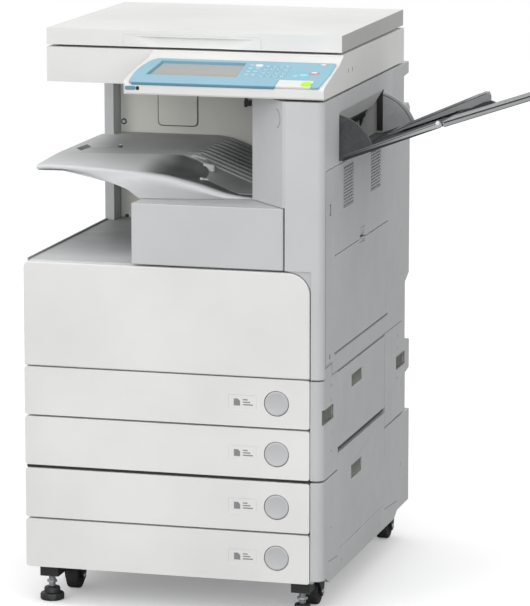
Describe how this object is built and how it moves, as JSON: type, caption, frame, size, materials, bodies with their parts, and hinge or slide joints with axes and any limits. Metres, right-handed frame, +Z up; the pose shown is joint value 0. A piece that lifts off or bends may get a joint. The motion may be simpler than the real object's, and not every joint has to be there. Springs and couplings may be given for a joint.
{
  "type": "photocopier",
  "caption": "Floor-standing office photocopier with platen lid, control panel, output bay, side exit tray, front door and stacked paper drawers on casters.",
  "frame": {"origin": "on the floor, below the middle of the whole object's box", "axes": "+Z up, +X to the right seen from the front, +Y to the back"},
  "size_m": [0.968, 0.693, 1.055],
  "materials": {
    "frame_metal": "satin grey",
    "housing_white": "fine-textured off-white",
    "cover_light_grey": "fine-textured light grey",
    "cover_side_grey": "fine-textured grey",
    "wall_grey": "fine-textured warm grey",
    "tray_grey": "textured dark grey",
    "dark_plastic": "textured charcoal",
    "black_plastic": "satin black",
    "wheel_black": "matt black",
    "panel_blue": "satin light blue",
    "key_lime": "glossy lime green",
    "key_coral": "glossy coral",
    "key_white": "satin white",
    "screen": "satin grey display",
    "glass": "clear",
    "steel": "plated"
  },
  "bodies": {
    "machine": {"main_frame": "frame_metal", "pedestal_frame": "frame_metal", "left_cover": "cover_light_grey", "rear_cover": "cover_side_grey", "inner_back_wall": "wall_grey", "rear_right_cover": "cover_side_grey", "lower_right_cover": "cover_side_grey", "pedestal_right_cover": "cover_side_grey", "right_front_strip": "cover_side_grey", "right_pillar": "cover_light_grey", "shelf_cover": "cover_light_grey", "inner_tray": "tray_grey", "toner_bottle": "dark_plastic", "drum_unit": "dark_plastic", "reader_housing": "housing_white", "platen_glass": "glass", "lid_hinge_left": "steel", "lid_hinge_right": "steel", "panel_fascia": "panel_blue", "touch_screen": "screen", "side_tray": "dark_plastic"},
    "lid": {"platen_lid": "housing_white", "platen_pad": "housing_white"},
    "scan_carriage": {"scan_carriage": "black_plastic"},
    "front_door": {"front_door": "housing_white"},
    "toner_cover": {"toner_cover": "cover_light_grey"},
    "right_door": {"right_door": "cover_side_grey"},
    "bypass_tray": {"bypass_tray": "cover_side_grey"},
    "paper_door_upper": {"paper_door_upper": "cover_side_grey"},
    "paper_door_lower": {"paper_door_lower": "cover_side_grey"},
    "side_tray_extension": {"side_tray_extension": "dark_plastic"},
    "side_tray_flap": {"side_tray_flap": "dark_plastic"},
    "exit_rollers": {"exit_rollers": "black_plastic"},
    "start_key": {"start_key": "key_lime"},
    "stop_key": {"stop_key": "key_coral"},
    "power_key": {"power_key": "key_white"},
    "number_keys": {"number_keys": "key_white"},
    "function_keys": {"function_keys": "key_white"},
    "levelling_foot_left": {"levelling_foot_left": "steel"},
    "levelling_foot_right": {"levelling_foot_right": "steel"},
    "cassette_1": {"cassette_front_1": "housing_white", "cassette_tray_1": "dark_plastic"},
    "cassette_button_1": {"cassette_button_1": "cover_light_grey"},
    "cassette_2": {"cassette_front_2": "housing_white", "cassette_tray_2": "dark_plastic"},
    "cassette_button_2": {"cassette_button_2": "cover_light_grey"},
    "cassette_3": {"cassette_front_3": "housing_white", "cassette_tray_3": "dark_plastic"},
    "cassette_button_3": {"cassette_button_3": "cover_light_grey"},
    "cassette_4": {"cassette_front_4": "housing_white", "cassette_tray_4": "dark_plastic"},
    "cassette_button_4": {"cassette_button_4": "cover_light_grey"},
    "caster_fl": {"caster_fork_fl": "black_plastic"},
    "wheel_fl": {"caster_wheel_fl": "wheel_black"},
    "caster_fr": {"caster_fork_fr": "black_plastic"},
    "wheel_fr": {"caster_wheel_fr": "wheel_black"},
    "caster_rl": {"caster_fork_rl": "black_plastic"},
    "wheel_rl": {"caster_wheel_rl": "wheel_black"},
    "caster_rr": {"caster_fork_rr": "black_plastic"},
    "wheel_rr": {"caster_wheel_rr": "wheel_black"}
  },
  "joints": [
    {"name": "lid_hinge", "type": "hinge", "parent": "machine", "child": "lid", "pos_m": [-0.196, 0.2925, 1.016], "axis": [-1, 0, 0], "range_deg": [0, 75]},
    {"name": "scan_travel", "type": "slide", "parent": "machine", "child": "scan_carriage", "axis": [1, 0, 0], "range_m": [0, 0.37]},
    {"name": "front_door_hinge", "type": "hinge", "parent": "machine", "child": "front_door", "pos_m": [-0.196, -0.3455, 0.4495], "axis": [1, 0, 0], "range_deg": [0, 90]},
    {"name": "toner_cover_hinge", "type": "hinge", "parent": "machine", "child": "toner_cover", "pos_m": [-0.272, -0.3455, 0.7], "axis": [0, 0, -1], "range_deg": [0, 100]},
    {"name": "right_door_hinge", "type": "hinge", "parent": "machine", "child": "right_door", "pos_m": [0.0865, 0.1937, 0.6], "axis": [0, 0, 1], "range_deg": [0, 90]},
    {"name": "bypass_tray_hinge", "type": "hinge", "parent": "right_door", "child": "bypass_tray", "pos_m": [0.0865, -0.0505, 0.484], "axis": [0, 1, 0], "range_deg": [0, 75]},
    {"name": "paper_door_upper_hinge", "type": "hinge", "parent": "machine", "child": "paper_door_upper", "pos_m": [0.0865, -0.0505, 0.303], "axis": [0, 1, 0], "range_deg": [0, 60]},
    {"name": "paper_door_lower_hinge", "type": "hinge", "parent": "machine", "child": "paper_door_lower", "pos_m": [0.0865, -0.0505, 0.11], "axis": [0, 1, 0], "range_deg": [0, 60]},
    {"name": "tray_extension_hinge", "type": "hinge", "parent": "machine", "child": "side_tray_extension", "pos_m": [0.274, -0.0575, 0.91], "axis": [0, -1, 0], "range_deg": [0, 90]},
    {"name": "tray_flap_hinge", "type": "hinge", "parent": "machine", "child": "side_tray_flap", "pos_m": [0.149, -0.0555, 0.866], "axis": [0, -1, 0], "range_deg": [0, 15]},
    {"name": "exit_roller_spin", "type": "hinge", "parent": "machine", "child": "exit_rollers", "pos_m": [0.049, -0.0555, 0.902], "axis": [0, 1, 0], "continuous": true},
    {"name": "cassette_1_slide", "type": "slide", "parent": "machine", "child": "cassette_1", "axis": [0, -1, 0], "range_m": [0, 0.45]},
    {"name": "cassette_button_1_press", "type": "slide", "parent": "cassette_1", "child": "cassette_button_1", "axis": [0, 1, 0], "range_m": [0, 0.003]},
    {"name": "cassette_2_slide", "type": "slide", "parent": "machine", "child": "cassette_2", "axis": [0, -1, 0], "range_m": [0, 0.45]},
    {"name": "cassette_button_2_press", "type": "slide", "parent": "cassette_2", "child": "cassette_button_2", "axis": [0, 1, 0], "range_m": [0, 0.003]},
    {"name": "cassette_3_slide", "type": "slide", "parent": "machine", "child": "cassette_3", "axis": [0, -1, 0], "range_m": [0, 0.45]},
    {"name": "cassette_button_3_press", "type": "slide", "parent": "cassette_3", "child": "cassette_button_3", "axis": [0, 1, 0], "range_m": [0, 0.003]},
    {"name": "cassette_4_slide", "type": "slide", "parent": "machine", "child": "cassette_4", "axis": [0, -1, 0], "range_m": [0, 0.45]},
    {"name": "cassette_button_4_press", "type": "slide", "parent": "cassette_4", "child": "cassette_button_4", "axis": [0, 1, 0], "range_m": [0, 0.003]},
    {"name": "start_key_press", "type": "slide", "parent": "machine", "child": "start_key", "axis": [0, 0.2484, -0.9687], "range_m": [0, 0.0007]},
    {"name": "stop_key_press", "type": "slide", "parent": "machine", "child": "stop_key", "axis": [0, 0.2484, -0.9687], "range_m": [0, 0.0007]},
    {"name": "power_key_press", "type": "slide", "parent": "machine", "child": "power_key", "axis": [0, 0.2484, -0.9687], "range_m": [0, 0.0007]},
    {"name": "number_keys_press", "type": "slide", "parent": "machine", "child": "number_keys", "axis": [0, 0.2484, -0.9687], "range_m": [0, 0.0007]},
    {"name": "function_keys_press", "type": "slide", "parent": "machine", "child": "function_keys", "axis": [0, 0.2484, -0.9687], "range_m": [0, 0.0007]},
    {"name": "caster_fl_swivel", "type": "hinge", "parent": "machine", "child": "caster_fl", "pos_m": [-0.426, -0.2305, 0.06], "axis": [0, 0, 1], "continuous": true},
    {"name": "wheel_fl_spin", "type": "hinge", "parent": "caster_fl", "child": "wheel_fl", "pos_m": [-0.426, -0.2145, 0.025], "axis": [1, 0, 0], "continuous": true},
    {"name": "caster_fr_swivel", "type": "hinge", "parent": "machine", "child": "caster_fr", "pos_m": [0.036, -0.2305, 0.06], "axis": [0, 0, 1], "continuous": true},
    {"name": "wheel_fr_spin", "type": "hinge", "parent": "caster_fr", "child": "wheel_fr", "pos_m": [0.036, -0.2145, 0.025], "axis": [1, 0, 0], "continuous": true},
    {"name": "caster_rl_swivel", "type": "hinge", "parent": "machine", "child": "caster_rl", "pos_m": [-0.436, 0.2995, 0.06], "axis": [0, 0, 1], "continuous": true},
    {"name": "wheel_rl_spin", "type": "hinge", "parent": "caster_rl", "child": "wheel_rl", "pos_m": [-0.436, 0.3155, 0.025], "axis": [1, 0, 0], "continuous": true},
    {"name": "caster_rr_swivel", "type": "hinge", "parent": "machine", "child": "caster_rr", "pos_m": [0.044, 0.2995, 0.06], "axis": [0, 0, 1], "continuous": true},
    {"name": "wheel_rr_spin", "type": "hinge", "parent": "caster_rr", "child": "wheel_rr", "pos_m": [0.044, 0.3155, 0.025], "axis": [1, 0, 0], "continuous": true},
    {"name": "levelling_foot_left_screw", "type": "slide", "parent": "machine", "child": "levelling_foot_left", "axis": [0, 0, 1], "range_m": [0, 0.008]},
    {"name": "levelling_foot_right_screw", "type": "slide", "parent": "machine", "child": "levelling_foot_right", "axis": [0, 0, 1], "range_m": [0, 0.008]}
  ]
}
